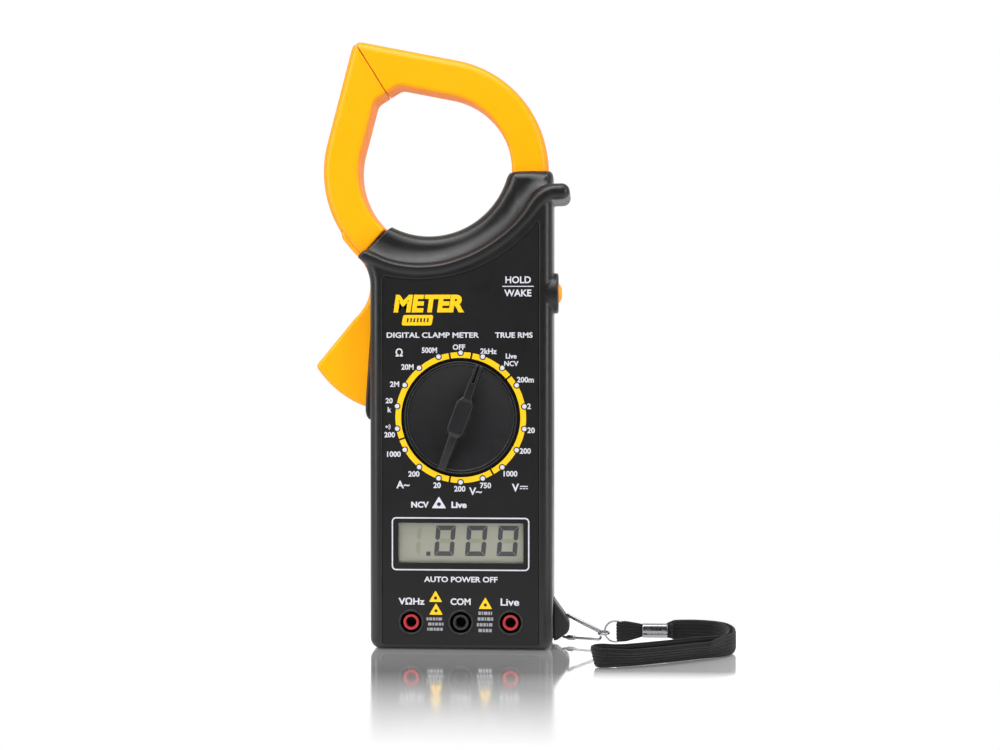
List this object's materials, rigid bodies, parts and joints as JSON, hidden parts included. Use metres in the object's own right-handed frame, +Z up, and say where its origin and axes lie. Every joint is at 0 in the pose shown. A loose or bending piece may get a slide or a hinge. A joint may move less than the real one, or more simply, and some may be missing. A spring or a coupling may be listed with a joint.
{
  "type": "clamp meter",
  "caption": "Handheld clamp meter with a spring-closed hinged jaw and trigger, rotary selector, LCD readout, banana jacks, side hold button, battery door and wrist strap.",
  "frame": {"origin": "middle of the flat foot the meter stands on, on the jaws' mid plane", "axes": "+Z up the meter from foot to jaws, +X to its right seen from the front, the front face looks along -Y"},
  "size_m": [0.1604, 0.0705, 0.2337],
  "materials": {
    "case_black": "satin moulded ABS with a fine grain",
    "jaw_yellow": "satin moulded ABS",
    "faceplate_black": "matte printed label",
    "clear_lens": "clear",
    "lcd_grey": "polarised glass",
    "white_plastic": "satin",
    "conductive_rubber": "matte",
    "board_green": "solder mask",
    "chip_black": "matte",
    "component_mix": "gloss",
    "fuse_metal": "plated",
    "switch_grey": "satin",
    "sleeve_red": "semi gloss",
    "sleeve_black": "semi gloss",
    "contact_brass": "plated",
    "core_steel": "laminated",
    "bobbin_nylon": "satin",
    "winding_copper": "enamelled",
    "lead_red": "pvc insulation",
    "pin_steel": "ground",
    "screw_steel": "plated",
    "label_silver": "foil label, blank",
    "knob_black": "satin moulded",
    "rotor_white": "acetal",
    "button_orange": "semi gloss",
    "battery_wrap": "printed wrap, plain",
    "snap_black": "vinyl",
    "strap_fabric": "woven nylon",
    "wire_steel": "nickel plated"
  },
  "bodies": {
    "meter": {"front_shell": "case_black", "rear_shell": "case_black", "faceplate": "faceplate_black", "lcd_lens": "clear_lens", "lcd_glass": "lcd_grey", "lcd_holder": "white_plastic", "zebra_strips": "conductive_rubber", "main_pcb": "board_green", "meter_chip": "chip_black", "pcb_components": "component_mix", "fuse_clip": "fuse_metal", "buzzer": "chip_black", "hold_switch": "switch_grey", "jack_sleeves_outer": "sleeve_red", "jack_sleeve_common": "sleeve_black", "jack_contacts": "contact_brass", "fixed_jaw_front": "jaw_yellow", "fixed_jaw_rear": "jaw_yellow", "fixed_core": "core_steel", "coil_bobbin": "bobbin_nylon", "coil_winding": "winding_copper", "coil_leads": "lead_red", "pivot_pin": "pin_steel", "case_screws": "screw_steel", "pcb_screws": "screw_steel", "rear_label": "label_silver", "battery_leads": "lead_red"},
    "jaw": {"moving_jaw_front": "jaw_yellow", "moving_jaw_rear": "jaw_yellow", "moving_core": "core_steel", "trigger_lever": "jaw_yellow", "return_spring": "pin_steel"},
    "knob": {"selector_knob": "knob_black", "switch_rotor": "rotor_white", "rotor_screw": "screw_steel", "wiper_contacts": "contact_brass", "detent_balls": "screw_steel", "detent_springs": "pin_steel"},
    "hold": {"hold_button": "button_orange"},
    "door": {"battery_door": "case_black", "door_screw": "screw_steel"},
    "battery_pack": {"battery": "battery_wrap", "battery_snap": "snap_black"},
    "clip": {"wire_clip": "wire_steel"},
    "ring": {"split_ring": "wire_steel"},
    "strap": {"wrist_strap": "strap_fabric", "strap_ferrule": "wire_steel"}
  },
  "joints": [
    {"name": "jaw_hinge", "type": "hinge", "parent": "meter", "child": "jaw", "pos_m": [-0.0243, 0, 0.1288], "axis": [0, -1, 0], "range_deg": [0, 36], "stiffness_Nm_per_rad": 0.6, "springref_deg": -20.05, "deforming": ["return_spring"]},
    {"name": "selector_turn", "type": "hinge", "parent": "meter", "child": "knob", "pos_m": [0, 0, 0.0889], "axis": [0, -1, 0], "continuous": true},
    {"name": "hold_press", "type": "slide", "parent": "meter", "child": "hold", "axis": [-1, 0, 0], "range_m": [0, 0.0003], "stiffness_N_per_m": 400},
    {"name": "door_off", "type": "slide", "parent": "meter", "child": "door", "axis": [0, 1, 0], "range_m": [0, 0.04]},
    {"name": "battery_out", "type": "slide", "parent": "meter", "child": "battery_pack", "axis": [0, 1, 0], "range_m": [0, 0.02]},
    {"name": "clip_swing", "type": "hinge", "parent": "meter", "child": "clip", "pos_m": [0.0397, 0.004, 0.0075], "axis": [0, 0, 1], "range_deg": [-30, 75]},
    {"name": "ring_swing", "type": "hinge", "parent": "clip", "child": "ring", "pos_m": [0.0546, -0.0026, 0.005], "axis": [0, 0, 1], "range_deg": [-15, 15]},
    {"name": "strap_swing", "type": "hinge", "parent": "ring", "child": "strap", "pos_m": [0.06295, -0.0026, 0.005], "axis": [0, 0, 1], "range_deg": [-25, 25]}
  ],
  "couplings": [
    {"joint": "battery_out", "follows": "door_off", "ratio": 0.45}
  ]
}
